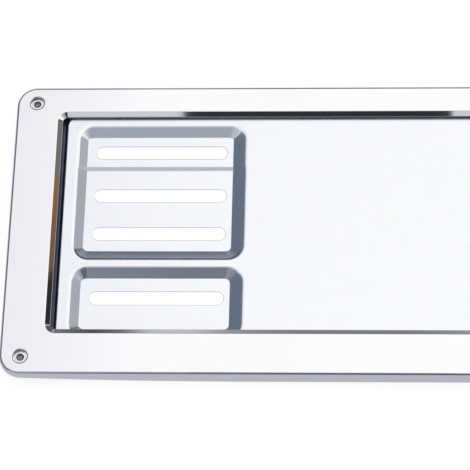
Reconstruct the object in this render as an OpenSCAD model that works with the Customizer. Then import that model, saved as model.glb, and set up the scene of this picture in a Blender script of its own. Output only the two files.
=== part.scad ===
// Number plate holder for a car: a polished bezel screwed over a pressed back plate.
// Millimetres. It lies on its back, X along the plate, Y up the plate, Z out of its face.
// The origin is the middle of the holder, at the underside of the tray floors.

/* [Number plate] */
// Length of the number plate that the holder takes
plate_w = 440; // [420:1:460]
// Height of that number plate
plate_h = 140; // [134:1:150]
// Edge of the number plate that the bezel covers, all round
plate_cover = 4; // [3:0.5:6]

/* [Bezel] */
// Thickness of the bezel's sheet
bezel_t = 0.8; // [0.6:0.1:1]
// Height of the bezel's face above the surface behind the holder
face_z = 10; // [9.5:0.5:14]
// Width of the face beside the opening, left and right
rim_side = 24; // [22:0.5:32]
// Width of the face under the opening
rim_bottom = 23.9; // [20:0.1:32]
// Width of the face over the opening
rim_top = 15.7; // [15.5:0.1:24]
// Corner radius of the bezel's outline
outline_r = 11.5; // [6:0.5:16]
// Outward slope of the bezel's outer wall, in degrees
wall_draft = 4; // [2:0.5:8]
// Gap between the wall's lower edge and the surface behind the holder
wall_lift = 0.5; // [0.3:0.1:1.5]
// Height that the wall's lower edge rises to, at the ends of the bezel
wall_rise = 4.7; // [2:0.1:5]
// Distance from the middle of the holder at which that rise starts
rise_start = 110; // [80:5:150]
// Bend radius between the face and the outer wall
edge_r = 1.2; // [1.1:0.1:2]
// Width of the lip that slopes down into the opening
lip_run = 3; // [2:0.5:4]
// Height that the lip drops
lip_drop = 1.5; // [1:0.25:2]
// Corner radius of the opening, at the top of the lip
opening_r = 6; // [5:0.5:9]
// Bend radius between the face and the lip
lip_bend_r = 1.2; // [1.1:0.1:2]

/* [Corner screws] */
// Distance of the screws from the outline's ends
screw_in_x = 11.5; // [10:0.5:13]
// Distance of the screws from the outline's long edges
screw_in_y = 10.2; // [9.8:0.1:10.5]
// Thread diameter of the screws
screw_d = 4; // [3:0.5:4]
// Length of the screws under the head
screw_len = 6; // [4.5:0.5:6]
// Diameter of the screw heads
head_d = 6.4; // [6:0.1:6.8]
// Height of the screw heads
head_h = 1.7; // [1.5:0.1:2.4]
// Width across the flats of the hexagon socket
socket_w = 3; // [2.5:0.1:3.2]
// Depth of the hexagon socket
socket_depth = 1.3; // [0.8:0.1:1.3]
// Diameter of the countersunk mouth of the socket
socket_mouth_d = 4.2; // [3.8:0.1:4.6]
// Diameter of the mouth of the dimple that each screw sits in
dimple_mouth_d = 9.2; // [8.8:0.1:9.4]
// Diameter of the dimple's flat seat
dimple_seat_d = 7.6; // [7.4:0.1:8]
// Depth of the dimple's seat under the face
dimple_depth = 3.4; // [3:0.1:3.8]
// Bend radius at the dimple's mouth
dimple_bend_r = 1.1; // [1.1:0.1:1.3]
// Diameter of the threaded standoffs that take the screws
standoff_d = 7; // [6:0.5:8]
// Diameter of the standoff's neck, pressed into the back plate
standoff_neck_d = 5.4; // [5:0.1:5.8]

/* [Back plate] */
// Thickness of the back plate's sheet
back_t = 1; // [0.8:0.1:1.2]
// Gap between the bezel's wall and the edge of the back plate
back_gap = 1.6; // [1:0.1:2.5]
// Height of the raised field over the flange that runs round it
field_raise = 2; // [1.5:0.1:2.5]
// Dark channel left between the bezel's lip and the field, left and right
channel_side = 3.2; // [2:0.1:5]
// The same channel along the top of the opening
channel_top = 0.1; // [0:0.1:1]
// How far the field runs on behind the bezel's bottom rim
field_under = 8.1; // [7.5:0.1:9]
// Corner radius of the field
field_r = 5; // [4:0.5:8]
// Width of the slope from the field down to the flange
field_slope = 2.3; // [2:0.1:3]
// Convex bend radius along the field's edge
field_edge_r = 1.4; // [1.3:0.1:1.5]
// Concave bend radius at the foot of the field's slope
field_foot_r = 0.5; // [0.3:0.1:0.6]

/* [Trays] */
// Depth of the sunk trays under the field
tray_depth = 3.8; // [3.5:0.1:4.5]
// Height of the step in the floor of the upper trays
step_h = 0.9; // [0.6:0.1:1.2]
// Width of the slope of that step
step_run = 1.9; // [1.5:0.1:3]
// Distance of the step from the top of the upper tray
step_in = 27.6; // [25:0.1:28]
// Length of each tray, along the number plate
tray_w = 97.9; // [94:0.1:104]
// Gap between the trays and the ends of the field
tray_end_gap = 5; // [4:0.5:8]
// Gap between the upper trays and the top of the field
tray_top_gap = 3.2; // [2.5:0.1:4]
// Height of the upper trays
upper_h = 85.2; // [80:0.1:86]
// Flat rib between the upper and the lower trays
rib_w = 4.2; // [3:0.1:5]
// Height of the lower trays
lower_h = 44; // [42:0.1:44.5]
// Corner radius of the trays, at the field
tray_r = 10.2; // [9.5:0.1:14]
// Width of the sloping wall of the trays
tray_slope = 7.2; // [6.5:0.1:8]
// Convex bend radius at the top of the tray's wall
tray_edge_r = 2.8; // [2:0.1:3.5]
// Concave bend radius at the foot of the tray's wall
tray_foot_r = 0.9; // [0.5:0.1:1.2]

/* [Slots] */
// Length of the fixing slots, end to end
slot_len = 75.6; // [60:0.1:80]
// Width of the fixing slots
slot_w = 8; // [6:0.1:9]
// Distance from the middle of the holder to the middle of each slot
slot_x = 158.6; // [157:0.1:160]
// Heights of the slots over the middle of the holder: three in the upper tray, one in the lower
slot_y_1 = 50.3; // [48:0.1:53]
slot_y_2 = 23.3; // [20:0.1:26]
slot_y_3 = -0.5; // [-3:0.1:3]
slot_y_4 = -40.1; // [-44:0.1:-38]

/* [Hidden] */
$fn = 96;
// Clearance of the screw in its standoff, and of the neck in the back plate
thread_gap = 0.1;
neck_gap = 0.05;
// Clearance of the screw in the dimple's hole
screw_hole_gap = 0.3;
// Bevel at the edge of a screw head and at the tip of a screw
head_bevel = 0.3;
tip_bevel = 0.5;
// Overlap of neighbouring stretches of one sheet
lap = 0.5;
// Straight steps that make up a bend of the pressed plate
edge_steps = 4;
foot_steps = 2;
// Straight steps that make up the rise of the wall's lower edge, at each end
rise_steps = 8;
// Overshoot of a cut past the faces that it opens
cut = 1;

// Opening of the bezel at the foot and at the top of its lip
lip_w = plate_w - 2 * plate_cover;
lip_h = plate_h - 2 * plate_cover;
opening_w = lip_w + 2 * lip_run;
opening_h = lip_h + 2 * lip_run;
// Outline of the bezel's face, where the planes of face and wall meet
outline_w = opening_w + 2 * rim_side;
outline_h = opening_h + rim_bottom + rim_top;
opening_y = (rim_bottom - rim_top) / 2;
wall_drop = face_z - wall_lift;
seat_z = face_z - dimple_depth;
screw_x = outline_w / 2 - screw_in_x;
screw_y = outline_h / 2 - screw_in_y;
socket_mouth_h = (socket_mouth_d - socket_w) / 2;

// Levels of the back plate's upper faces
floor_z = back_t;
field_z = floor_z + tray_depth;
flange_z = field_z - field_raise;
// Edges of the raised field and of the trays in it
field_w = lip_w - 2 * channel_side;
field_top = opening_y + lip_h / 2 - channel_top;
field_bottom = opening_y - lip_h / 2 - field_under;
field_h = field_top - field_bottom;
field_y = (field_top + field_bottom) / 2;
tray_x = field_w / 2 - tray_end_gap - tray_w / 2;
upper_top = field_top - tray_top_gap;
upper_bottom = upper_top - upper_h;
upper_y = (upper_top + upper_bottom) / 2;
lower_y = upper_bottom - rib_w - lower_h / 2;
step_y = upper_top - step_in;
step_angle = atan2(step_h, step_run);
// Outline of the flange, inside the bezel's wall
back_w = outline_w - 2 * (bezel_t + back_gap);
back_h = outline_h - 2 * (bezel_t + back_gap);
back_r = outline_r - bezel_t - back_gap;

// The four corners: name, side along X, side along Y
CORNERS = [
    ["top_left", -1, 1],
    ["top_right", 1, 1],
    ["bottom_left", -1, -1],
    ["bottom_right", 1, -1]
];

// Flat shape of w by h with corners of radius r
module rounded_rect(w, h, r) {
    square([w, h - 2 * r], center = true);
    square([w - 2 * r, h], center = true);
    for (x = [-1, 1], y = [-1, 1])
        translate([x * (w / 2 - r), y * (h / 2 - r)])
            circle(r);
}

// Band round a rounded rectangle. Its section has x outward from the edge, y up.
module round_band(w, h, r) {
    for (turn = [0, 180]) rotate(turn) {
        translate([w / 2, 0, 0])
            rotate([90, 0, 0])
                linear_extrude(h - 2 * r, center = true)
                    children();
        translate([0, h / 2, 0])
            rotate([90, 0, 90])
                linear_extrude(w - 2 * r, center = true)
                    children();
        translate([w / 2 - r, h / 2 - r, 0])
            rotate_extrude(angle = 90)
                translate([r, 0])
                    children();
        translate([r - w / 2, h / 2 - r, 0])
            rotate(90)
                rotate_extrude(angle = 90)
                    translate([r, 0])
                        children();
    }
}

// Section of a sheet that runs level to x = 0 and then bends down to [run, -drop].
// flat is the level stretch, r the outer bend radius. The free end is cut upright
// when upright is true, and level otherwise.
module bent_section(flat, run, drop, t, r, upright) {
    angle = atan2(drop, run);
    bend = r * tan(angle / 2);
    bend_start = [-bend, 0];
    bend_end = bend * [cos(angle), -sin(angle)];
    inner_corner = [-t * tan(angle / 2), -t];
    end_in = upright ? [run, -drop - t / cos(angle)] : [run - t / sin(angle), -drop];
    polygon([[-flat, 0], bend_start, bend_end, [run, -drop], end_in, inner_corner, [-flat, -t]]);
    intersection() {
        translate([-bend, -r])
            circle(r);
        polygon([inner_corner, bend_start, [0, 0], bend_end]);
    }
}

// Section of the space over a pressed slope. The slope leaves [0, 0] level with a
// convex bend of radius r_edge and reaches [-run, -depth] level with a concave
// bend of radius r_foot. The space goes on inward to -reach, and up to top.
module slope_section(reach, run, depth, r_edge, r_foot, top) {
    r_both = r_edge + r_foot;
    angle = asin(r_both / norm([run, r_both - depth])) - atan2(r_both - depth, run);
    edge = [for (i = [0 : edge_steps])
        let (a = angle * i / edge_steps)
        r_edge * [-sin(a), cos(a) - 1]];
    foot = [for (i = [foot_steps : -1 : 0])
        let (a = angle * i / foot_steps)
        [r_foot * sin(a) - run, r_foot * (1 - cos(a)) - depth]];
    polygon(concat([[0, top]], edge, foot, [[-reach, -depth], [-reach, top]]));
}

// Space over a pressed dish of w by h at its edge, up to top over its edge
module dish(w, h, r, run, depth, r_edge, r_foot, top) {
    round_band(w, h, r)
        slope_section(run + lap, run, depth, r_edge, r_foot, top);
    translate([0, 0, -depth])
        linear_extrude(depth + top)
            rounded_rect(w - 2 * run, h - 2 * run, r - run);
}

// Half space in front of the step in an upper tray's floor, at the tray's depth
module before_step() {
    half = tray_w;
    rotate([90, 0, 90])
        linear_extrude(2 * half, center = true)
            polygon([
                [-upper_h, -tray_depth - 2 * step_h],
                [-2 * step_run, -tray_depth - 2 * step_h],
                [4 * step_run, -tray_depth + 4 * step_h],
                [-upper_h, -tray_depth + 4 * step_h]
            ]);
}

// Upper tray with its stepped floor. deeper is 0 for the space in the tray, and the
// sheet's thickness for the tray's body.
module upper_tray(deeper, top) {
    r_edge = tray_edge_r - deeper;
    r_foot = tray_foot_r + deeper;
    shallow = tray_depth - step_h;
    translate([tray_x, upper_y, field_z - deeper]) {
        dish(tray_w, upper_h, tray_r, tray_slope, shallow, r_edge, r_foot, top);
        intersection() {
            dish(tray_w, upper_h, tray_r, tray_slope, tray_depth, r_edge, r_foot, top);
            translate([0, step_y - step_run - upper_y + deeper * tan(step_angle / 2), 0])
                before_step();
        }
    }
}

// Lower tray, with a level floor
module lower_tray(deeper, top) {
    translate([tray_x, lower_y, field_z - deeper])
        dish(tray_w, lower_h, tray_r, tray_slope, tray_depth,
            tray_edge_r - deeper, tray_foot_r + deeper, top);
}

// Raised field over the level of the flange, or the hollow under it
module field_hill(deeper, down) {
    translate([0, field_y, flange_z - deeper])
        mirror([0, 0, 1])
            dish(field_w + 2 * field_slope, field_h + 2 * field_slope, field_r + field_slope,
                field_slope, field_raise, field_foot_r + deeper, field_edge_r - deeper, down);
}

// Round-ended fixing slot through a tray's floor, at height y
module fixing_slot(y) {
    straight = slot_len - slot_w;
    translate([slot_x, y, -cut])
        linear_extrude(field_z + 2 * cut) {
            square([straight, slot_w], center = true);
            for (side = [-1, 1])
                translate([side * straight / 2, 0])
                    circle(d = slot_w);
        }
}

// The same shape at the right end and, mirrored, at the left end
module both_ends() {
    children();
    mirror([1, 0, 0]) children();
}

// Pressed zinc-coated plate: flange, raised field, four trays and eight slots
module back_plate() {
    color("lightsteelblue")
        difference() {
            union() {
                difference() {
                    union() {
                        translate([0, 0, flange_z - back_t])
                            linear_extrude(back_t)
                                rounded_rect(back_w, back_h, back_r);
                        field_hill(0, lap);
                    }
                    field_hill(back_t, cut);
                }
                both_ends() {
                    upper_tray(back_t, back_t);
                    lower_tray(back_t, back_t);
                }
            }
            both_ends() {
                upper_tray(0, cut);
                lower_tray(0, cut);
                for (y = [slot_y_1, slot_y_2, slot_y_3, slot_y_4])
                    fixing_slot(y);
            }
            for (c = CORNERS)
                translate([c[1] * screw_x, c[2] * screw_y, flange_z - back_t - cut])
                    cylinder(h = back_t + 2 * cut, d = standoff_neck_d + 2 * neck_gap);
        }
}

// Pressed dimple with a flat seat and a hole, its mouth at the level of the face
module dimple() {
    leg_t = bezel_t / sin(atan2(dimple_depth, (dimple_mouth_d - dimple_seat_d) / 2));
    rotate_extrude() {
        translate([dimple_mouth_d / 2, 0])
            mirror([1, 0])
                bent_section(lap + dimple_bend_r, (dimple_mouth_d - dimple_seat_d) / 2,
                    dimple_depth, bezel_t, dimple_bend_r, false);
        hole_r = screw_d / 2 + screw_hole_gap;
        translate([hole_r, -dimple_depth - bezel_t])
            square([dimple_seat_d / 2 + leg_t - hole_r, bezel_t]);
    }
}

// Space under the wall's lower edge at the right end, where the edge rises in a curve
module under_wall() {
    run = outline_w / 2 + edge_r - rise_start;
    curve = [for (i = [0 : rise_steps])
        let (share = i / rise_steps)
        [rise_start + run * share, wall_lift + wall_rise * share * share]];
    rotate([90, 0, 0])
        linear_extrude(outline_h + 2 * wall_drop, center = true)
            polygon(concat([[rise_start, -cut]], curve, [[rise_start + run, -cut]]));
}

// Outer wall of the bezel with its bend, and its lower edge in a curve
module outer_wall() {
    difference() {
        translate([0, 0, face_z])
            round_band(outline_w, outline_h, outline_r)
                bent_section(edge_r + lap, wall_drop * tan(wall_draft), wall_drop,
                    bezel_t, edge_r, false);
        both_ends()
            under_wall();
    }
}

// Polished bezel: flat face, drafted outer wall, sloping lip and four dimples
module bezel() {
    dimple_hole_r = dimple_mouth_d / 2 + dimple_bend_r;
    color("whitesmoke") {
        translate([0, 0, face_z - bezel_t])
            linear_extrude(bezel_t)
                difference() {
                    rounded_rect(outline_w - 2 * edge_r, outline_h - 2 * edge_r, outline_r - edge_r);
                    translate([0, opening_y])
                        rounded_rect(opening_w + 2 * lap, opening_h + 2 * lap, opening_r + lap);
                    for (c = CORNERS)
                        translate([c[1] * screw_x, c[2] * screw_y])
                            circle(dimple_hole_r);
                }
        outer_wall();
        translate([0, opening_y, face_z])
            round_band(opening_w, opening_h, opening_r)
                mirror([1, 0])
                    bent_section(lip_bend_r + lap, lip_run, lip_drop, bezel_t, lip_bend_r, true);
        for (c = CORNERS)
            translate([c[1] * screw_x, c[2] * screw_y, face_z])
                dimple();
    }
}

// Screw with a round head and a hexagon socket, its head on the dimple's seat
module corner_screw(c) {
    color("silver")
        translate([c[1] * screw_x, c[2] * screw_y, seat_z])
            difference() {
                union() {
                    cylinder(h = head_h - head_bevel, d = head_d);
                    translate([0, 0, head_h - head_bevel])
                        cylinder(h = head_bevel, d1 = head_d, d2 = head_d - 2 * head_bevel);
                    translate([0, 0, tip_bevel - screw_len])
                        cylinder(h = screw_len - tip_bevel + lap, d = screw_d);
                    translate([0, 0, -screw_len])
                        cylinder(h = tip_bevel, d1 = screw_d - 2 * tip_bevel, d2 = screw_d);
                }
                translate([0, 0, head_h - socket_depth])
                    cylinder(h = socket_depth + cut, d = socket_w / cos(30), $fn = 6);
                translate([0, 0, head_h - socket_mouth_h])
                    cylinder(h = socket_mouth_h, d1 = socket_w, d2 = socket_mouth_d);
            }
}

// Threaded standoff pressed into the flange, its top against the dimple's underside
module standoff(c) {
    color("gray")
        translate([c[1] * screw_x, c[2] * screw_y, 0])
            difference() {
                union() {
                    translate([0, 0, flange_z])
                        cylinder(h = seat_z - bezel_t - flange_z, d = standoff_d);
                    translate([0, 0, flange_z - back_t])
                        cylinder(h = back_t + lap, d = standoff_neck_d);
                }
                cylinder(h = face_z, d = screw_d + 2 * thread_gap);
            }
}

bezel();
back_plate();
for (c = CORNERS) {
    corner_screw(c);
    standoff(c);
}
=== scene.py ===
"""Looks of the number plate holder: polished bezel, zinc-coated back plate, screws.

The shapes are written in millimetres, in the part's own frame: X along the number
plate, Y up the plate, Z out of its face. Each mesh is turned into metres at its end.
"""

import math

import bmesh
import bpy
from mathutils import Matrix, Vector

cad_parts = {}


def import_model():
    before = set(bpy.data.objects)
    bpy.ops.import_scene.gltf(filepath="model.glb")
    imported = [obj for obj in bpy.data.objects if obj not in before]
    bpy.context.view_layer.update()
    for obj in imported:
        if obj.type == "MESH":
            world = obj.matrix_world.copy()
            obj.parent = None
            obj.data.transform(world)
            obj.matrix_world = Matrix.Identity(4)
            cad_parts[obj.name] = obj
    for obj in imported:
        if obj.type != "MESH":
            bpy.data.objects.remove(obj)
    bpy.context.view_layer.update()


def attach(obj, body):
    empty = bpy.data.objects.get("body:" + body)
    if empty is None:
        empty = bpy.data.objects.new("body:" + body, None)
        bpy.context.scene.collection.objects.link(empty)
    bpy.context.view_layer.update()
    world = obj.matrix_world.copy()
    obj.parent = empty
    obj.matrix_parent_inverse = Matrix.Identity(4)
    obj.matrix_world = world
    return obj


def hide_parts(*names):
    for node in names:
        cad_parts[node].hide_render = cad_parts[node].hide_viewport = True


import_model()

MM = 0.001

# Bezel: level of its face, its opening with the lip, its outer wall with a curved lower edge
FACE_Z = 10.0
OUTLINE_W, OUTLINE_H, OUTLINE_R = 486.0, 177.6, 11.5
OPENING_W, OPENING_H, OPENING_R = 438.0, 138.0, 6.0
OPENING_Y = 4.1
BEZEL_T = 0.8
EDGE_R = 1.6
WALL_DRAFT = math.radians(4)
WALL_DROP = 9.5
WALL_RISE, RISE_START, RISE_END = 4.7, 110.0, 244.2
# Points along the long edges, which let the wall's lower edge curve: how many from the middle
# to where the rise starts, then how far apart and how many up to each end
LEVEL_MARKS, RISE_MARK_GAP, RISE_MARKS = 4, 8, 15
LIP_RUN, LIP_DROP, LIP_BEND_R = 3.0, 1.5, 1.2
# Lip's rim, turned down straight: its height and its bend
RIM_H, RIM_BEND_R = 1.0, 0.2
SCREW_X, SCREW_Y = 231.5, 78.6
DIMPLE_MOUTH_R, DIMPLE_SEAT_R, DIMPLE_HOLE_R = 3.95, 3.65, 2.3
DIMPLE_DEPTH, DIMPLE_BEND_R, SEAT_STRIP = 3.4, 0.8, 0.1

# Screws and the standoffs that take them
SEAT_Z = FACE_Z - DIMPLE_DEPTH
HEAD_R, HEAD_H, HEAD_EDGE_R = 3.2, 1.7, 0.22
SOCKET_W, SOCKET_DEPTH = 3.0, 1.3
# Countersunk mouth of the socket, and the flat end of the drill's cone at its bottom
SOCKET_MOUTH_R, SOCKET_MOUTH_H, SOCKET_TIP_R, SOCKET_TIP_H = 2.2, 0.5, 0.35, 0.15
SCREW_R, SCREW_LEN, SCREW_TIP_BEVEL, SCREW_TIP_H = 2.0, 6.0, 0.35, 0.4
THREAD_PITCH, THREAD_DEPTH, THREAD_GAP = 0.7, 0.3, 0.05
# Thread's profile: how steep its flanks are, and the share of its depth cut off its crests
THREAD_STEEP, THREAD_CREST = 1.3, 0.15
STANDOFF_R, NECK_R, BORE_R, STANDOFF_BEVEL = 3.5, 2.7, 2.1, 0.25
SMALL_BEVEL = 0.1

# Back plate: levels of its upper faces, field, trays and slots
BACK_T = 1.0
FLANGE_Z, FIELD_Z = 2.8, 4.8
BACK_W, BACK_H, BACK_R = 481.2, 172.8, 9.1
FIELD_W, FIELD_H, FIELD_R, FIELD_Y = 425.6, 141.5, 5.0, 0.75
FIELD_RUN, FIELD_EDGE_R, FIELD_FOOT_R = 2.3, 1.4, 0.5
# Field's top edge, which springs up a little under the lip: where that starts, where it is
# steepest, how steep it is there and the power of its curve
CURL_START, CURL_FULL, CURL_SLOPE, CURL_POWER = 68.7, 70.1, 0.22, 1.5
# Rings of points inside the field's edge that carry it: how many and how far apart
CURL_RINGS, CURL_RING_GAP = 7, 0.4
# Where and by how much the finish alone starts that rise, in metres
COAT_RISE_START, COAT_RISE_END, COAT_RISE_H = 0.0673, 0.0695, 0.00011
# Where the flange's painted shade starts on the field's slope, outside the field's edge
FIELD_SHADE = 0.5
NECK_HOLE_R = 2.75
TRAY_X, TRAY_W, TRAY_R = 158.3, 99.0, 10.2
UPPER_Y, UPPER_H = 24.6, 87.2
LOWER_Y, LOWER_H = -43.9, 45.4
TRAY_RUN, TRAY_DEPTH, TRAY_EDGE_R, TRAY_FOOT_R = 7.2, 3.8, 4.5, 0.9
# How much wider than TRAY_RUN a tray's walls are: toward the middle of the plate, toward
# its end, at the top and at the bottom
WIDER_MIDDLE, WIDER_END, WIDER_TOP, WIDER_BOTTOM = 2.05, -0.55, 1.4, 0.6
# Step in the upper trays: its top, the width and height of its slope, half the run of each bend
STEP_Y, STEP_RUN, STEP_H, STEP_BEND = 41.5, 2.5, 0.9, 0.3
SLOT_X, SLOT_LEN, SLOT_W = 158.6, 75.6, 8.0
UPPER_SLOTS = (50.3, 23.3, -0.5)
LOWER_SLOTS = (-40.1,)

# How finely bends, corners, round pieces, the threads and the small edges are drawn
BEND_STEPS = 8
CORNER_STEPS = 16
ROUND_STEPS = 48
ROWS_PER_PITCH = 8
HEAD_EDGE_STEPS = 6
STEP_BEND_STEPS = 5
SMALL_BEND_STEPS = 4
# Narrow flat strip beside each bend, which keeps the flat faces flat in the light
STRIP = 0.25
# Edges of punched holes: how wide and how deep the punch rolls them
EDGE_ROLL, EDGE_ROLL_DEPTH = 0.3, 0.15
# How near a point has to be to a place to count as there
NEAR = 0.001
# How far the points along a straight run keep from its ends
MARK_GAP = 0.01

# Studio, in metres: the room's width, the distance of its sides, the width of the bands over
# the camera's side and the place on the holder that they face
ROOM_W, ROOM_SIDE, CAMERA_SIDE = 5.0, 1.7, 1.6
BAND_W = 4.0
UPPER_LIP = (0, 0.071, 0)
FLOOR_W, FLOOR_GLOW, FLOOR_MATT = 12, 0.84, (0.22, 0.22, 0.23, 1)
OVER_FLOOR = 0.0001
# Part of the surroundings' light that matt surfaces don't get
DIFFUSE_CUT = 0.25
LAMP_PLACE, LAMP_W, LAMP_H, LAMP_POWER = (-0.3, 0.9, 2.0), 2.4, 1.6, 9.0
# Camera: its place in millimetres, the directions to its right and forward, and its lens
CAMERA_PLACE = (-41.9, -532.27, 1152.17)
CAMERA_RIGHT = (0.99832, 0.02472, -0.05235)
CAMERA_FORWARD = (-0.05789, 0.41822, -0.9065)
CAMERA_LENS, CAMERA_SENSOR, CAMERA_NEAR = 172.34, 36, 0.05


# Shader sums


class Value:
    """A socket of a material that takes part in sums."""

    def __init__(self, finish, socket):
        self.finish = finish
        self.socket = socket

    def _sum(self, operation, first, second):
        return self.finish.add("ShaderNodeMath", {"operation": operation}, [first, second])

    def __add__(self, other):
        return self._sum("ADD", self, other)

    def __radd__(self, other):
        return self._sum("ADD", other, self)

    def __sub__(self, other):
        return self._sum("SUBTRACT", self, other)

    def __rsub__(self, other):
        return self._sum("SUBTRACT", other, self)

    def __mul__(self, other):
        return self._sum("MULTIPLY", self, other)

    def __rmul__(self, other):
        return self._sum("MULTIPLY", other, self)


class Finish:
    """A material or a world built from nodes, with its shader's sockets set by name."""

    def __init__(self, owner, shader, **sockets):
        self.owner = owner
        owner.use_nodes = True
        self.nodes = owner.node_tree.nodes
        self.links = owner.node_tree.links
        self.shader = self.nodes[shader]
        self.set(**sockets)

    @classmethod
    def metal(cls, name):
        return cls(bpy.data.materials.new(name), "Principled BSDF", Metallic=1.0)

    @classmethod
    def paper(cls, name, kind):
        """Material with one plain shader, for the studio."""
        paper = cls(bpy.data.materials.new(name), "Principled BSDF")
        paper.nodes.remove(paper.shader)
        paper.shader = paper.nodes.new(kind)
        paper.show(Value(paper, paper.shader.outputs[0]))
        return paper

    def show(self, value):
        self.put(self.nodes["Material Output"].inputs["Surface"], value)

    def put(self, socket, value):
        if isinstance(value, Value):
            self.links.new(value.socket, socket)
        elif value is not None:
            socket.default_value = value

    def add(self, kind, settings, sockets, output=0):
        """Adds a node: its settings first, then its sockets, by place or by name."""
        node = self.nodes.new(kind)
        stops = settings.pop("stops", None)
        for key, value in settings.items():
            setattr(node, key, value)
        if stops:
            ramp = node.color_ramp
            while len(ramp.elements) < len(stops):
                ramp.elements.new(0.5)
            for element, (place, colour) in zip(ramp.elements, stops):
                element.position = place
                element.color = (*colour, 1)
        pairs = sockets.items() if isinstance(sockets, dict) else enumerate(sockets)
        for key, value in pairs:
            self.put(node.inputs[key], value)
        return Value(self, node.outputs[output])

    def place(self, scale):
        """Place on the object in metres, stretched by scale along X, Y and Z."""
        here = self.add("ShaderNodeTexCoord", {}, [], "Object")
        return self.add("ShaderNodeMapping", {}, {"Vector": here, "Scale": scale})

    def noise(self, scale, detail=2.0, stretch=(1, 1, 1)):
        return self.add("ShaderNodeTexNoise", {},
                        {"Vector": self.place(stretch), "Scale": scale, "Detail": detail})

    def ramp(self, value, *stops):
        """Colour by value: stops are places with a grey or a colour each."""
        stops = [(place, c if isinstance(c, tuple) else (c, c, c)) for place, c in stops]
        return self.add("ShaderNodeValToRGB", {"stops": stops}, [value])

    def mix(self, share, first, second):
        """Colour between the first and the second, by share."""
        mixed = self.add("ShaderNodeMix", {"data_type": "RGBA"}, {}, 2)
        node = mixed.socket.node
        self.put(node.inputs[0], share)
        self.put(node.inputs[6], first)
        self.put(node.inputs[7], second)
        return mixed

    def dent(self, height, distance, under=None):
        """Normal of a surface that rises by height times distance, in metres."""
        return self.add("ShaderNodeBump", {},
                        {"Strength": 1.0, "Distance": distance, "Height": height, "Normal": under})

    def set(self, **sockets):
        for socket, value in sockets.items():
            self.put(self.shader.inputs[socket.replace("_", " ")], value)
        return self.owner


# Finishes


def polished_steel():
    """Mirror polished sheet with a faint haze, fine wipe marks and a slight waviness."""
    steel = Finish.metal("polished_steel_finish")
    haze = steel.noise(28, 3)
    wipes = steel.noise(60, 2, (1, 22, 22))
    waves = steel.noise(9, 1)
    colour = steel.mix(haze, (0.965, 0.965, 0.975, 1), (0.99, 0.99, 0.992, 1))
    rough = 0.015 + 0.02 * haze + 0.02 * wipes
    normal = steel.dent(wipes, 0.0000015, steel.dent(waves, 0.00004))
    return steel.set(Base_Color=colour, Roughness=rough, Normal=normal)


def cut_edge():
    """Sheared edge of the polished sheet, duller than its faces."""
    edge = Finish.metal("cut_edge_finish")
    streaks = edge.noise(900, 2, (1, 1, 0.1))
    colour = edge.mix(streaks, (0.62, 0.61, 0.68, 1), (0.78, 0.77, 0.84, 1))
    return edge.set(Base_Color=colour, Roughness=0.3 + 0.15 * streaks,
                    Normal=edge.dent(streaks, 0.00001))


def dull_back_painted_shade():
    """Unpolished back of the bezel's sheet, dark as painted shade under the lip."""
    back = Finish.metal("dull_back_finish")
    streaks = back.noise(80, 3, (1, 12, 12))
    # Dark grey colour: painted shade, which the field mirrors under the lip
    colour = back.mix(streaks, (0.24, 0.24, 0.29, 1), (0.34, 0.34, 0.39, 1))
    return back.set(Base_Color=colour, Roughness=0.4 + 0.15 * streaks,
                    Normal=back.dent(streaks, 0.00001))


def zinc_coat():
    """Satin zinc: faint clouds and cells of the coat and a fine grain."""
    zinc = Finish.metal("zinc_coat_finish")
    clouds = zinc.noise(38, 4)
    cells = zinc.add("ShaderNodeTexVoronoi", {}, {"Vector": zinc.place((1, 1, 1)), "Scale": 190},
                     "Color")
    grain = zinc.noise(2600, 2)
    pale = zinc.mix(clouds, (0.945, 0.965, 0.99, 1), (0.975, 0.987, 0.998, 1))
    colour = zinc.mix(0.015, pale, cells)
    rough = 0.13 + 0.06 * clouds + 0.04 * grain
    # Start of the springback under the lip, before the field's own points rise
    along = zinc.add("ShaderNodeSeparateXYZ", {}, [zinc.place((1, 1, 1))], "Y")
    rise = zinc.add("ShaderNodeMapRange", {"interpolation_type": "SMOOTHSTEP"},
                    {"Value": along, "From Min": COAT_RISE_START, "From Max": COAT_RISE_END})
    curl = zinc.dent(rise, COAT_RISE_H)
    normal = zinc.dent(grain, 0.000002, zinc.dent(clouds, 0.00002, curl))
    return zinc.set(Base_Color=colour, Roughness=rough, Normal=normal)


def flange_painted_shade():
    """Painted shade on the flange: a dark finish for the shade in the gap between the lip and the
    field, seen only there.
    """
    coat = Finish.metal("flange_coat_finish")
    clouds = coat.noise(120, 3)
    # Dark blue-grey colour: painted shade
    colour = coat.mix(clouds, (0.14, 0.16, 0.24, 1), (0.24, 0.27, 0.38, 1))
    return coat.set(Base_Color=colour, Roughness=0.35 + 0.15 * clouds,
                    Normal=coat.dent(clouds, 0.00002))


def screw_metal():
    """Bright turned steel with a darker wear."""
    steel = Finish.metal("screw_steel_finish")
    wear = steel.noise(700, 3)
    colour = steel.mix(wear, (0.84, 0.84, 0.85, 1), (0.97, 0.97, 0.98, 1))
    return steel.set(Base_Color=colour, Roughness=0.08 + 0.10 * wear,
                     Normal=steel.dent(wear, 0.000006))


def socket_painted_shade():
    """Dark inside of a screw's socket: painted shade of the recess."""
    dark = Finish.metal("socket_finish")
    shade_mottle = dark.noise(1500, 3)
    # Dark colour, mottled: painted shade of the socket's recess
    colour = dark.mix(shade_mottle, (0.25, 0.27, 0.30, 1), (0.38, 0.40, 0.43, 1))
    return dark.set(Base_Color=colour, Roughness=0.35 + 0.25 * shade_mottle,
                    Normal=dark.dent(shade_mottle, 0.00001))


def standoff_metal():
    """Plain zinc plated steel of the standoffs."""
    plain = Finish.metal("standoff_steel_finish")
    clouds = plain.noise(420, 3)
    colour = plain.mix(clouds, (0.50, 0.50, 0.52, 1), (0.62, 0.62, 0.63, 1))
    return plain.set(Base_Color=colour, Roughness=0.3 + 0.2 * clouds,
                     Normal=plain.dent(clouds, 0.00001))


# Outlines and sections


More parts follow.
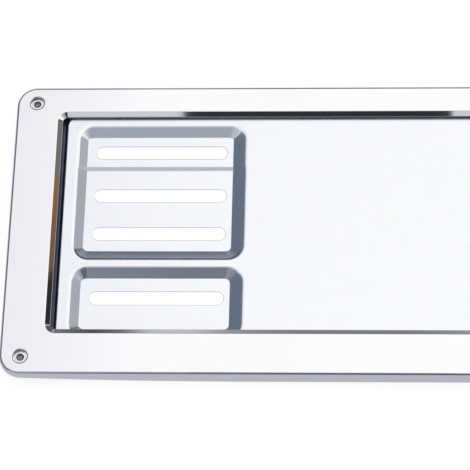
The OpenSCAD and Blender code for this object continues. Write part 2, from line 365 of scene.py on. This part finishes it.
def round_outline(w, h, r, marks_x=(), marks_y=(), centre=(0, 0)):
    """Stations round a rounded rectangle, anticlockwise: point and outward direction.
    marks_x and marks_y are extra places along the straight runs."""
    cx, cy = centre
    side_y = sorted(y for y in marks_y if abs(y - cy) < h / 2 - r - MARK_GAP)
    side_x = sorted(x for x in marks_x if abs(x - cx) < w / 2 - r - MARK_GAP)
    corners = ((1, 1, 0), (-1, 1, 90), (-1, -1, 180), (1, -1, 270))
    runs = (
        [(x, cy + h / 2, 0, 1) for x in reversed(side_x)],
        [(cx - w / 2, y, -1, 0) for y in reversed(side_y)],
        [(x, cy - h / 2, 0, -1) for x in side_x],
        [(cx + w / 2, y, 1, 0) for y in side_y],
    )
    stations = []
    for (sx, sy, start), run in zip(corners, runs):
        for i in range(CORNER_STEPS + 1):
            a = math.radians(start + 90 * i / CORNER_STEPS)
            c, s = math.cos(a), math.sin(a)
            stations.append((cx + sx * (w / 2 - r) + r * c, cy + sy * (h / 2 - r) + r * s, c, s))
        stations += run
    return stations


def circle_outline(r, centre):
    """Stations round a circle, anticlockwise."""
    turns = [2 * math.pi * i / ROUND_STEPS for i in range(ROUND_STEPS)]
    return [(centre[0] + r * math.cos(a), centre[1] + r * math.sin(a), math.cos(a), math.sin(a))
            for a in turns]


def pressed_slope(run, depth, r_edge, r_foot):
    """Section of a pressed slope, from [0, 0] down to [-run, -depth], with two bends."""
    both = r_edge + r_foot
    angle = math.asin(both / math.hypot(run, both - depth)) - math.atan2(both - depth, run)
    edge = [(-r_edge * math.sin(a), r_edge * (math.cos(a) - 1))
            for a in (angle * i / BEND_STEPS for i in range(BEND_STEPS + 1))]
    foot = [(r_foot * math.sin(a) - run, r_foot * (1 - math.cos(a)) - depth)
            for a in (angle * i / BEND_STEPS for i in range(BEND_STEPS, -1, -1))]
    return [(STRIP, 0)] + edge + foot + [(-run - STRIP, -depth)]


def bend_down(run, drop, r):
    """Section of a face that bends at x = 0 and runs straight to [run, -drop]."""
    angle = math.atan2(drop, run)
    start = r * math.tan(angle / 2)
    arc = [(r * math.sin(a) - start, r * (math.cos(a) - 1))
           for a in (angle * i / BEND_STEPS for i in range(BEND_STEPS + 1))]
    near = arc[-1][0] + STRIP / 2
    return [(-start - STRIP, 0)] + arc + [(near, -drop * near / run), (run, -drop)]


# Sheets


class Sheet:
    """The upper side of a pressed sheet, to which a thickness is given at the end."""

    def __init__(self):
        self.mesh = bmesh.new()

    def ring(self, stations, offset, z, shape=None):
        """Closed ring of points at an offset outward from the stations."""
        points = []
        for x, y, nx, ny in stations:
            point = (x + offset * nx, y + offset * ny, z)
            if shape:
                point = shape(point, (nx, ny))
            points.append(self.mesh.verts.new(point))
        for a, b in zip(points, points[1:] + points[:1]):
            self.mesh.edges.new((a, b))
        return points

    def sweep(self, stations, section, shape=None):
        """Band round the stations. Returns its first and its last ring."""
        rings = [self.ring(stations, x, z, shape) for x, z in section]
        for low, high in zip(rings, rings[1:]):
            count = len(low)
            for i in range(count):
                j = (i + 1) % count
                self.mesh.faces.new((low[i], low[j], high[j], high[i]))
        return rings[0], rings[-1]

    def hole(self, stations, level):
        """Edge of a punched hole, rolled down a little by the punch. Returns its ring."""
        turns = [math.pi / 2 * i / SMALL_BEND_STEPS for i in range(SMALL_BEND_STEPS + 1)]
        rolled = [(EDGE_ROLL * (1 - math.sin(a)), level + EDGE_ROLL_DEPTH * (math.cos(a) - 1))
                  for a in turns]
        return self.sweep(stations, [(EDGE_ROLL + STRIP, level)] + rolled)[0]

    def flat(self, *loops):
        """Flat face between loops of points: the first is its outside, the rest are holes."""
        edges = []
        for loop in loops:
            for a, b in zip(loop, loop[1:] + loop[:1]):
                edge = self.mesh.edges.get((a, b)) or self.mesh.edges.new((a, b))
                edges.append(edge)
        bmesh.ops.triangle_fill(self.mesh, use_beauty=True, edges=edges, normal=(0, 0, 1))

    def piece(self, name, thickness, finishes):
        """Finished object: the normals up, in metres, with its thickness below. The
        finishes are those of its face and, if others, of its cut edges and its back."""
        bmesh.ops.recalc_face_normals(self.mesh, faces=self.mesh.faces)
        if sum(f.normal.z * f.calc_area() for f in self.mesh.faces) < 0:
            bmesh.ops.reverse_faces(self.mesh, faces=self.mesh.faces)
        for face in self.mesh.faces:
            face.smooth = True
        piece = new_piece(name, self.mesh, finishes)
        sheet = piece.modifiers.new("sheet", "SOLIDIFY")
        sheet.thickness = thickness * MM
        sheet.offset = -1
        sheet.use_even_offset = True
        sheet.use_quality_normals = True
        sheet.material_offset_rim = 1
        sheet.material_offset = len(finishes) - 1
        crisp(piece)
        return piece


def new_piece(name, mesh, finishes):
    """Object from a mesh in millimetres, with its materials, that rides with the part."""
    data = bpy.data.meshes.new(name)
    mesh.to_mesh(data)
    mesh.free()
    data.transform(Matrix.Scale(MM, 4))
    for finish in finishes:
        data.materials.append(finish)
    piece = bpy.data.objects.new(name, data)
    bpy.context.collection.objects.link(piece)
    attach(piece, "root")
    return piece


def crisp(piece, angle=35):
    """Keeps edges sharper than the angle crisp in the light."""
    split = piece.modifiers.new("crisp", "EDGE_SPLIT")
    split.split_angle = math.radians(angle)
    split.use_edge_angle = True
    split.use_edge_sharp = False


def corners():
    """The four corners: name, place along X and place along Y."""
    for name, sx, sy in (("top_left", -1, 1), ("top_right", 1, 1),
                         ("bottom_left", -1, -1), ("bottom_right", 1, -1)):
        yield name, sx * SCREW_X, sy * SCREW_Y


# Bezel


def wall_shape(point, outward):
    """Lifts a point of the outer wall with the rise of the wall's lower edge."""
    x, y, z = point
    top = FACE_Z - 2 * EDGE_R
    foot = FACE_Z - WALL_DROP
    share = max(0, top - z) / (top - foot)
    along = max(0, abs(x) - RISE_START) / (RISE_END - RISE_START)
    lift = share * WALL_RISE * min(1, along) ** 2
    inward = lift * math.tan(WALL_DRAFT)
    return x - inward * outward[0], y - inward * outward[1], z + lift


def lip_section():
    """Section of the lip, from the face down its slope and over its bend to its rim."""
    slope = math.atan2(LIP_DROP, LIP_RUN)
    turns = [slope + (math.pi / 2 - slope) * i / SMALL_BEND_STEPS
             for i in range(SMALL_BEND_STEPS + 1)]
    start_x = LIP_RUN - RIM_BEND_R * (1 - math.sin(slope))
    start_z = -LIP_DROP * start_x / LIP_RUN
    rim = [(start_x + RIM_BEND_R * (math.sin(a) - math.sin(slope)),
            start_z + RIM_BEND_R * (math.cos(a) - math.cos(slope))) for a in turns]
    flat_end = start_x - STRIP / 2
    lip = bend_down(LIP_RUN, LIP_DROP, LIP_BEND_R)[:-1]
    lip += [(flat_end, -LIP_DROP * flat_end / LIP_RUN)] + rim
    return lip + [(LIP_RUN, rim[-1][1] - STRIP / 2), (LIP_RUN, -LIP_DROP - RIM_H)]


def bezel_sheet(steel, edge, back):
    """Polished face with its outer wall, its lip and the four screw dimples."""
    sheet = Sheet()
    marks = [RISE_START * i / LEVEL_MARKS for i in range(-LEVEL_MARKS, LEVEL_MARKS + 1)]
    marks += [side * (RISE_START + RISE_MARK_GAP * i)
              for side in (-1, 1) for i in range(1, RISE_MARKS + 1)]
    outline = round_outline(OUTLINE_W, OUTLINE_H, OUTLINE_R, marks)
    wall_run = WALL_DROP * math.tan(WALL_DRAFT)
    section = [(x, FACE_Z + z) for x, z in bend_down(wall_run, WALL_DROP, EDGE_R)]
    outside = sheet.sweep(outline, section, wall_shape)[0]
    opening = round_outline(OPENING_W, OPENING_H, OPENING_R, centre=(0, OPENING_Y))
    inside = sheet.sweep(opening, [(-x, FACE_Z + z) for x, z in lip_section()])[0]
    dimples = [dimple(sheet, (x, y)) for _, x, y in corners()]
    sheet.flat(outside, inside, *dimples)
    piece = sheet.piece("bezel_sheet", BEZEL_T, [steel, edge, back])
    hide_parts("bezel")


def dimple(sheet, centre):
    """Round pressed dimple with a flat seat and the screw's hole. Returns its mouth."""
    run = DIMPLE_MOUTH_R - DIMPLE_SEAT_R
    section = [(-x, FACE_Z + z) for x, z in bend_down(run, DIMPLE_DEPTH, DIMPLE_BEND_R)]
    section += [(-run - SEAT_STRIP, SEAT_Z), (DIMPLE_HOLE_R - DIMPLE_MOUTH_R, SEAT_Z)]
    return sheet.sweep(circle_outline(DIMPLE_MOUTH_R, centre), section)[0]


# Back plate


def step_depth(y):
    """Depth of an upper tray's floor at a height y, with the step's two small bends."""
    low, high, bend = STEP_Y - STEP_RUN, STEP_Y, STEP_BEND
    share = (y - low) / STEP_RUN
    if y <= low - bend:
        share = 0.0
    elif y < low + bend:
        share = (y - low + bend) ** 2 / (4 * bend) / STEP_RUN
    elif y >= high + bend:
        share = 1.0
    elif y > high - bend:
        share = 1 - (high + bend - y) ** 2 / (4 * bend) / STEP_RUN
    return TRAY_DEPTH - STEP_H * share


def tray_shape(side, stepped):
    """Moves the points of a tray's wall: each wall has its own width, and an upper tray's
    wall follows the step in its floor."""
    wider_top = WIDER_TOP if stepped else 0

    def shape(point, outward):
        x, y, z = point
        share = (FIELD_Z - z) / TRAY_DEPTH
        to_end, to_top = (TRAY_X - side * x) / (TRAY_W / -2), outward[1]
        wider = WIDER_END * max(0, to_end) + WIDER_MIDDLE * min(0, to_end)
        x -= side * share * wider
        y -= share * (wider_top * max(0, to_top) + WIDER_BOTTOM * min(0, to_top))
        if stepped:
            z = FIELD_Z - share * step_depth(y)
        return x, y, z

    return shape


def step_marks():
    """Heights of the rows of points across the step."""
    low, high, bend = STEP_Y - STEP_RUN, STEP_Y, STEP_BEND
    across = [2 * bend * i / STEP_BEND_STEPS - bend for i in range(STEP_BEND_STEPS + 1)]
    bends = [edge + place for edge in (low, high) for place in across]
    return [low - bend - STRIP] + bends + [high + bend + STRIP]


def tray_wall():
    """Section of a tray's wall, from the field down to the floor."""
    return [(x, FIELD_Z + z) for x, z in
            pressed_slope(TRAY_RUN, TRAY_DEPTH, TRAY_EDGE_R, TRAY_FOOT_R)]


def slots(sheet, side, heights, level):
    """Edges of the slots with round ends at the heights. Returns their rings."""
    end_r = SLOT_W / 2 - NEAR
    return [sheet.hole(round_outline(SLOT_LEN, SLOT_W, end_r, centre=(side * SLOT_X, y)), level)
            for y in heights]


def part_of(loop, start, end):
    """The points of a closed loop from start to end."""
    first = loop.index(start)
    points = loop[first:] + loop[:first]
    return points[:points.index(end) + 1]


def upper_tray(sheet, side):
    """Tray with a stepped floor and three slots. Returns its mouth."""
    marks = step_marks()
    outline = round_outline(TRAY_W, UPPER_H, TRAY_R, (), marks, (side * TRAY_X, UPPER_Y))
    mouth, foot = sheet.sweep(outline, tray_wall(), tray_shape(side, True))
    rows = []
    for mark in marks:
        ends = [v for v in foot if abs(v.co.y - mark) < NEAR]
        rows.append(sorted(ends, key=lambda v: v.co.x))
    for low, high in zip(rows, rows[1:]):
        sheet.mesh.faces.new((low[0], low[1], high[1], high[0]))
    low_loop = part_of(foot, *rows[0])
    high_loop = part_of(foot, *reversed(rows[-1]))
    deep, shallow = FIELD_Z - TRAY_DEPTH, FIELD_Z - TRAY_DEPTH + STEP_H
    sheet.flat(low_loop, *slots(sheet, side, UPPER_SLOTS[1:], deep))
    sheet.flat(high_loop, *slots(sheet, side, UPPER_SLOTS[:1], shallow))
    return mouth


def lower_tray(sheet, side):
    """Tray with a level floor and one slot. Returns its mouth."""
    outline = round_outline(TRAY_W, LOWER_H, TRAY_R, centre=(side * TRAY_X, LOWER_Y))
    mouth, foot = sheet.sweep(outline, tray_wall(), tray_shape(side, False))
    sheet.flat(foot, *slots(sheet, side, LOWER_SLOTS, FIELD_Z - TRAY_DEPTH))
    return mouth


def field_curl(point, outward):
    """Lifts the field's top edge along its springback, and its slope less toward the foot."""
    x, y, z = point
    run = CURL_FULL - CURL_START
    share = max(0, min(1, (y - CURL_START) / run))
    lift = CURL_SLOPE * (share ** CURL_POWER * run / CURL_POWER + max(0, y - CURL_FULL))
    return x, y, z + lift * (z - FLANGE_Z) / (FIELD_Z - FLANGE_Z)


def back_plate_sheet(zinc, flange):
    """Pressed plate: flange, raised field, four trays and eight slots."""
    sheet = Sheet()
    outline = round_outline(FIELD_W, FIELD_H, FIELD_R, centre=(0, FIELD_Y))
    slope = pressed_slope(FIELD_RUN, FIELD_Z - FLANGE_Z, FIELD_EDGE_R, FIELD_FOOT_R)
    section = [(CURL_RING_GAP * i, FIELD_Z) for i in range(-CURL_RINGS, 0)]
    section += [(-x, FIELD_Z + z) for x, z in slope]
    field, foot = sheet.sweep(outline, section, field_curl)
    mouths = [tray(sheet, side) for side in (-1, 1) for tray in (upper_tray, lower_tray)]
    sheet.flat(field, *mouths)
    edge = sheet.ring(round_outline(BACK_W, BACK_H, BACK_R), 0, FLANGE_Z)
    necks = [sheet.ring(circle_outline(NECK_HOLE_R, (x, y)), 0, FLANGE_Z)
             for _, x, y in corners()]
    sheet.flat(edge, foot, *necks)
    middle_w, middle_h = FIELD_W / 2 + FIELD_SHADE, FIELD_H / 2 + FIELD_SHADE
    # Faces outside the field's edge take the flange's painted shade, the others the zinc
    for face in sheet.mesh.faces:
        x, y, _ = face.calc_center_median()
        face.material_index = int(abs(x) < middle_w and abs(y - FIELD_Y) < middle_h)
    piece = sheet.piece("back_plate_sheet", BACK_T, [flange, zinc])
    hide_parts("back_plate")


# Screws and standoffs


def turned(name, rings, finishes, dark_rings=()):
    """Closed body from rings of points, bottom to top. dark_rings take the last finish."""
    mesh = bmesh.new()
    made = [[mesh.verts.new(p) for p in ring] for ring in rings]
    count = len(made[0])
    for k, (low, high) in enumerate(zip(made, made[1:])):
        for i in range(count):
            j = (i + 1) % count
            face = mesh.faces.new((low[i], low[j], high[j], high[i]))
            face.smooth = True
            face.material_index = len(finishes) - 1 if k in dark_rings else 0
    mesh.faces.new(list(reversed(made[0])))
    last = mesh.faces.new(made[-1])
    last.material_index = len(finishes) - 1 if dark_rings else 0
    piece = new_piece(name, mesh, finishes)
    crisp(piece)
    return piece


def hexagon_ring(centre, width, z):
    """Ring on a hexagon with the given width across its flats."""
    points = []
    for i in range(ROUND_STEPS):
        a = 2 * math.pi * i / ROUND_STEPS
        from_flat = (a + math.pi / 6) % (math.pi / 3) - math.pi / 6
        r = width / 2 / math.cos(from_flat)
        points.append((centre[0] + r * math.cos(a), centre[1] + r * math.sin(a), z))
    return points


def round_ring(centre, r, z):
    """Ring on a circle."""
    return [(x, y, z) for x, y, _, _ in circle_outline(r, centre)]


def thread_rings(centre, low, high):
    """Rings of a threaded shank: their points go in and out along the helix."""
    rings = []
    rows = int((high - low) / THREAD_PITCH * ROWS_PER_PITCH)
    for k in range(rows + 1):
        z = low + (high - low) * k / rows
        ring = []
        for i in range(ROUND_STEPS):
            a = 2 * math.pi * i / ROUND_STEPS
            phase = (z / THREAD_PITCH - i / ROUND_STEPS) % 1
            flank = abs(2 * phase - 1)
            r = SCREW_R - THREAD_DEPTH * min(1, max(0, THREAD_STEEP * flank - THREAD_CREST))
            ring.append((centre[0] + r * math.cos(a), centre[1] + r * math.sin(a), z))
        rings.append(ring)
    return rings


def corner_screw(name, centre, steel, dark):
    """Round-headed screw with a hexagon socket, on the seat of its dimple."""
    tip = SEAT_Z - SCREW_LEN
    core = SCREW_R - THREAD_DEPTH
    top = SEAT_Z + HEAD_H
    edge = HEAD_EDGE_R
    rings = [round_ring(centre, core - SCREW_TIP_BEVEL, tip)]
    rings += [round_ring(centre, core, tip + SCREW_TIP_H)]
    rings += thread_rings(centre, tip + SCREW_TIP_H + THREAD_GAP, SEAT_Z - THREAD_GAP)
    under_head = [(SCREW_R, SEAT_Z), (HEAD_R - SMALL_BEVEL, SEAT_Z),
                  (HEAD_R, SEAT_Z + SMALL_BEVEL)]
    turns = [math.pi / 2 * i / HEAD_EDGE_STEPS for i in range(HEAD_EDGE_STEPS + 1)]
    head = [(HEAD_R - edge + edge * math.cos(a), top - edge + edge * math.sin(a)) for a in turns]
    rings += [round_ring(centre, r, z) for r, z in under_head + head]
    rings.append(round_ring(centre, SOCKET_MOUTH_R, top))
    mouth = len(rings) - 1
    rings.append(hexagon_ring(centre, SOCKET_W, top - SOCKET_MOUTH_H))
    rings.append(hexagon_ring(centre, SOCKET_W, top - SOCKET_DEPTH + SOCKET_TIP_H))
    rings.append(round_ring(centre, SOCKET_TIP_R, top - SOCKET_DEPTH))
    # From its mouth down, the socket takes the painted shade
    piece = turned("fastener_" + name, rings, [steel, dark], range(mouth, len(rings)))
    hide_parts("screw_" + name)


def standoff(name, centre, plain):
    """Threaded standoff, its neck pressed into the flange."""
    low, high = FLANGE_Z - BACK_T, SEAT_Z - BEZEL_T
    bevel = STANDOFF_BEVEL
    section = [
        (BORE_R, low + bevel), (BORE_R + bevel, low),
        (NECK_R - SMALL_BEVEL, low), (NECK_R, low + SMALL_BEVEL),
        (NECK_R, FLANGE_Z), (STANDOFF_R - SMALL_BEVEL, FLANGE_Z),
        (STANDOFF_R, FLANGE_Z + SMALL_BEVEL), (STANDOFF_R, high - bevel),
        (STANDOFF_R - bevel, high), (BORE_R + bevel, high), (BORE_R, high - bevel),
    ]
    mesh = bmesh.new()
    rings = [[mesh.verts.new(p) for p in round_ring(centre, r, z)] for r, z in section]
    for low_ring, high_ring in zip(rings, rings[1:] + rings[:1]):
        for i in range(ROUND_STEPS):
            j = (i + 1) % ROUND_STEPS
            face = mesh.faces.new((low_ring[i], low_ring[j], high_ring[j], high_ring[i]))
            face.smooth = True
    piece = new_piece("spacer_" + name, mesh, [plain])
    crisp(piece, 25)
    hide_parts("standoff_" + name)


# Studio


def plane(name, width, height, turn, paper):
    """Flat stage piece of width by height, in metres."""
    mesh = bpy.data.meshes.new(name)
    w, h = width / 2, height / 2
    mesh.from_pydata([(-w, -h, 0), (w, -h, 0), (w, h, 0), (-w, h, 0)], [], [(0, 1, 2, 3)])
    mesh.materials.append(paper)
    piece = bpy.data.objects.new(name, mesh)
    bpy.context.collection.objects.link(piece)
    piece.matrix_world = turn
    return piece


def card(name, turn, width, height, *stops, across=False):
    """Studio card that only reflections see, in colours from its foot to its top, or
    from its left to its right edge when across is true."""
    paper = Finish.paper(name, "ShaderNodeEmission")
    here = paper.add("ShaderNodeTexCoord", {}, [], "Generated")
    along = paper.add("ShaderNodeSeparateXYZ", {}, [here], "X" if across else "Y")
    paper.set(Color=paper.ramp(along, *stops))
    piece = plane(name, width, height, turn, paper.owner)
    for ray in ("camera", "diffuse", "shadow", "transmission", "volume_scatter"):
        setattr(piece, "visible_" + ray, False)


def facing(place, target):
    """Turn of a card at a place, its face towards the target and its height upward."""
    away = Vector(target) - Vector(place)
    return Matrix.Translation(place) @ away.to_track_quat("Z", "Y").to_matrix().to_4x4()


def wall(name, side, distance, height, *stops, across=False):
    """Upright card of the room's width on a side of the object, seen from inside."""
    x, y = side
    turn = facing((x * distance, y * distance, height / 2), (0, 0, height / 2))
    card(name, turn, ROOM_W, height, *stops, across=across)


def floor():
    """Pale floor: white to the eye, with the object's soft shadow."""
    paper = Finish.paper("floor_paper", "ShaderNodeEmission")
    seen = paper.add("ShaderNodeLightPath", {}, [], "Is Camera Ray")
    path = seen.socket.node
    for ray in ("Is Glossy Ray", "Is Transmission Ray"):
        seen = seen + Value(paper, path.outputs[ray])
    paper.set(Strength=FLOOR_GLOW * seen)
    matt = paper.add("ShaderNodeBsdfDiffuse", {}, {"Color": FLOOR_MATT})
    glow = Value(paper, paper.shader.outputs[0])
    paper.show(paper.add("ShaderNodeAddShader", {}, [matt, glow]))
    plane("floor", FLOOR_W, FLOOR_W, Matrix.Identity(4), paper.owner)


def world():
    """White surroundings at a plain level, a little less for what isn't seen or mirrored."""
    surroundings = bpy.data.worlds.new("white_surroundings")
    bpy.context.scene.world = surroundings
    white = Finish(surroundings, "Background", Color=(1, 1, 1, 1))
    matt = white.add("ShaderNodeLightPath", {}, [], "Is Diffuse Ray")
    white.set(Strength=1 - DIFFUSE_CUT * matt)


def lamp():
    """Soft lamp overhead, behind the object as the camera sees it."""
    light = bpy.data.lights.new("overhead", "AREA")
    light.shape = "RECTANGLE"
    light.size, light.size_y = LAMP_W, LAMP_H
    light.energy = LAMP_POWER
    soft = bpy.data.objects.new("overhead", light)
    bpy.context.collection.objects.link(soft)
    place = Vector(LAMP_PLACE)
    turn = (-place).to_track_quat("-Z", "Y").to_matrix().to_4x4()
    soft.matrix_world = Matrix.Translation(place) @ turn
    soft.visible_glossy = False


def camera():
    """Camera at the photograph's place, in front of the holder and above it."""
    lens = bpy.data.cameras.new("camera")
    lens.lens = CAMERA_LENS
    lens.sensor_width = CAMERA_SENSOR
    lens.clip_start = CAMERA_NEAR
    eye = bpy.data.objects.new("camera", lens)
    bpy.context.collection.objects.link(eye)
    right = Vector(CAMERA_RIGHT).normalized()
    forward = Vector(CAMERA_FORWARD).normalized()
    up = right.cross(forward).normalized()
    turn = Matrix((right, up, -forward)).transposed().to_4x4()
    eye.matrix_world = Matrix.Translation(Vector(CAMERA_PLACE) * MM) @ turn
    bpy.context.scene.camera = eye


def cards():
    """Cards whose reflections draw the lip, the walls and the dimples."""
    # High over the far side: whiter to the right
    card("ceiling", Matrix.Translation((-0.2, 1.3, 2.6)) @ Matrix.Rotation(math.pi, 4, "X"),
         3.4, 2.2, (0.36, (0.86, 0.855, 0.905)), (0.405, (0.94, 0.935, 0.975)),
         (0.42, (0.98, 0.98, 1.0)), (0.468, (0.985, 0.985, 1.0)),
         (0.505, (0.985, 0.985, 1.0)), (0.53, (1.0, 1.0, 1.0)), across=True)
    # Dark side of the room to the left
    wall("left_side", (-1, 0.25), ROOM_SIDE, 2.8,
         (0.0, (0.055, 0.070, 0.095)), (0.25, (0.125, 0.160, 0.215)),
         (1.0, (0.14, 0.165, 0.20)))
    # Far side of the room
    wall("far_side", (0, 1), ROOM_SIDE, 2.0,
         (0.0, (0.40, 0.46, 0.55)), (0.12, (0.28, 0.32, 0.38)), (0.3, (0.10, 0.105, 0.125)),
         (1.0, (0.07, 0.075, 0.09)))
    # Things along the far side that the lip at the bottom of the opening mirrors
    card("far_things", facing((-0.05, 1.6, 0.45), (-0.05, 0, 0.45)), 1.1, 0.24,
         (0.0, (0.30, 0.30, 0.31)), (0.16, (0.16, 0.16, 0.17)), (0.20, (0.08, 0.08, 0.085)),
         (0.235, (0.16, 0.16, 0.17)), (0.27, (0.52, 0.52, 0.54)), (0.31, (0.52, 0.52, 0.54)),
         (0.36, (0.30, 0.30, 0.32)), (0.44, (0.20, 0.205, 0.225)), (0.56, (0.20, 0.205, 0.225)),
         (0.66, (0.34, 0.34, 0.36)), across=True)
    # Side of the camera: lighter to the left, darker to the right
    wall("camera_side", (0, -1), CAMERA_SIDE, 2.6,
         (0.0, (0.09, 0.11, 0.14)), (0.50, (0.10, 0.12, 0.15)), (0.555, (0.125, 0.14, 0.17)),
         (0.58, (0.17, 0.19, 0.23)), (0.60, (0.29, 0.32, 0.37)), (1.0, (0.34, 0.37, 0.42)),
         across=True)
    # Over it, a dim band that the trays' top walls mirror, and a paler one for the step
    card("dim_band", facing((0, -0.959, 2.112), UPPER_LIP), BAND_W, 0.91,
         (0.0, (0.11, 0.13, 0.165)), (0.2, (0.13, 0.15, 0.19)), (0.5, (0.20, 0.22, 0.26)),
         (0.77, (0.27, 0.30, 0.36)), (1.0, (0.33, 0.36, 0.42)))
    card("step_band", facing((0, -0.236, 2.33), UPPER_LIP), BAND_W, 0.62,
         (0.0, (0.40, 0.42, 0.48)), (0.5, (0.60, 0.62, 0.67)), (1.0, (0.85, 0.87, 0.90)))
    # Corners of the room beside the camera
    card("corner_right", facing((1.175, -0.823, 2.05), (0, 0, 0)), 1.3, 1.0,
         (0.0, (0.42, 0.44, 0.49)), (1.0, (0.58, 0.60, 0.65)))
    card("corner_left", facing((-1.175, -0.823, 2.05), (0, 0, 0)), 1.3, 1.0,
         (0.0, (0.19, 0.21, 0.26)), (1.0, (0.36, 0.38, 0.43)))
    # Pale strip before the dim band, which the lip at the top of the opening mirrors
    card("pale_strip", facing((0, -0.867, 1.99), UPPER_LIP), BAND_W, 0.17,
         (0.0, (0.60, 0.60, 0.63)), (1.0, (0.62, 0.62, 0.64)))
    # The camera and the hands that hold it
    card("camera_body", facing((-0.087, -0.453, 1.12), (-0.087, 0, 0.2)), 0.28, 0.15,
         (0.0, (0.026, 0.024, 0.025)), (1.0, (0.034, 0.031, 0.034)))
    # Right side, paler upward
    wall("right_side", (1, 0.25), ROOM_SIDE, 2.2,
         (0.0, (0.33, 0.34, 0.385)), (0.5, (0.40, 0.41, 0.46)), (1.0, (0.62, 0.64, 0.68)))
    # Olive, brown and dark stripes that the lip at the left of the opening mirrors
    card("stripes", facing((1.35, 1.05, 1.63), (0, 1.05, 1.63)), 0.5, 0.38,
         (0.0, (0.17, 0.17, 0.14)), (0.40, (0.155, 0.155, 0.13)), (0.415, (0.27, 0.13, 0.045)),
         (0.52, (0.20, 0.10, 0.05)), (0.64, (0.15, 0.11, 0.08)), (0.66, (0.022, 0.021, 0.017)),
         (1.0, (0.03, 0.029, 0.024)), across=True)
    # Shaded floor on the far side, and close round the object for its outer wall
    card("floor_far", Matrix.Translation((0, 1.0, OVER_FLOOR)), BAND_W, 1.2,
         (0.0, (0.12, 0.13, 0.15)), (1.0, (0.10, 0.11, 0.13)))
    card("floor_shade", Matrix.Translation((0, 0, OVER_FLOOR)), 1.3, 0.8,
         (0.0, (0.48, 0.475, 0.53)), (1.0, (0.48, 0.475, 0.53)))


def main():
    camera()
    floor()
    world()
    lamp()
    cards()
    polished, edge, back, zinc = polished_steel(), cut_edge(), dull_back_painted_shade(), zinc_coat()
    screw, dark, plain = screw_metal(), socket_painted_shade(), standoff_metal()
    bezel_sheet(polished, edge, back)
    back_plate_sheet(zinc, flange_painted_shade())
    for name, x, y in corners():
        corner_screw(name, (x, y), screw, dark)
        standoff(name, (x, y), plain)
    bpy.context.scene.view_settings.view_transform = "Standard"


main()
bpy.context.view_layer.update()
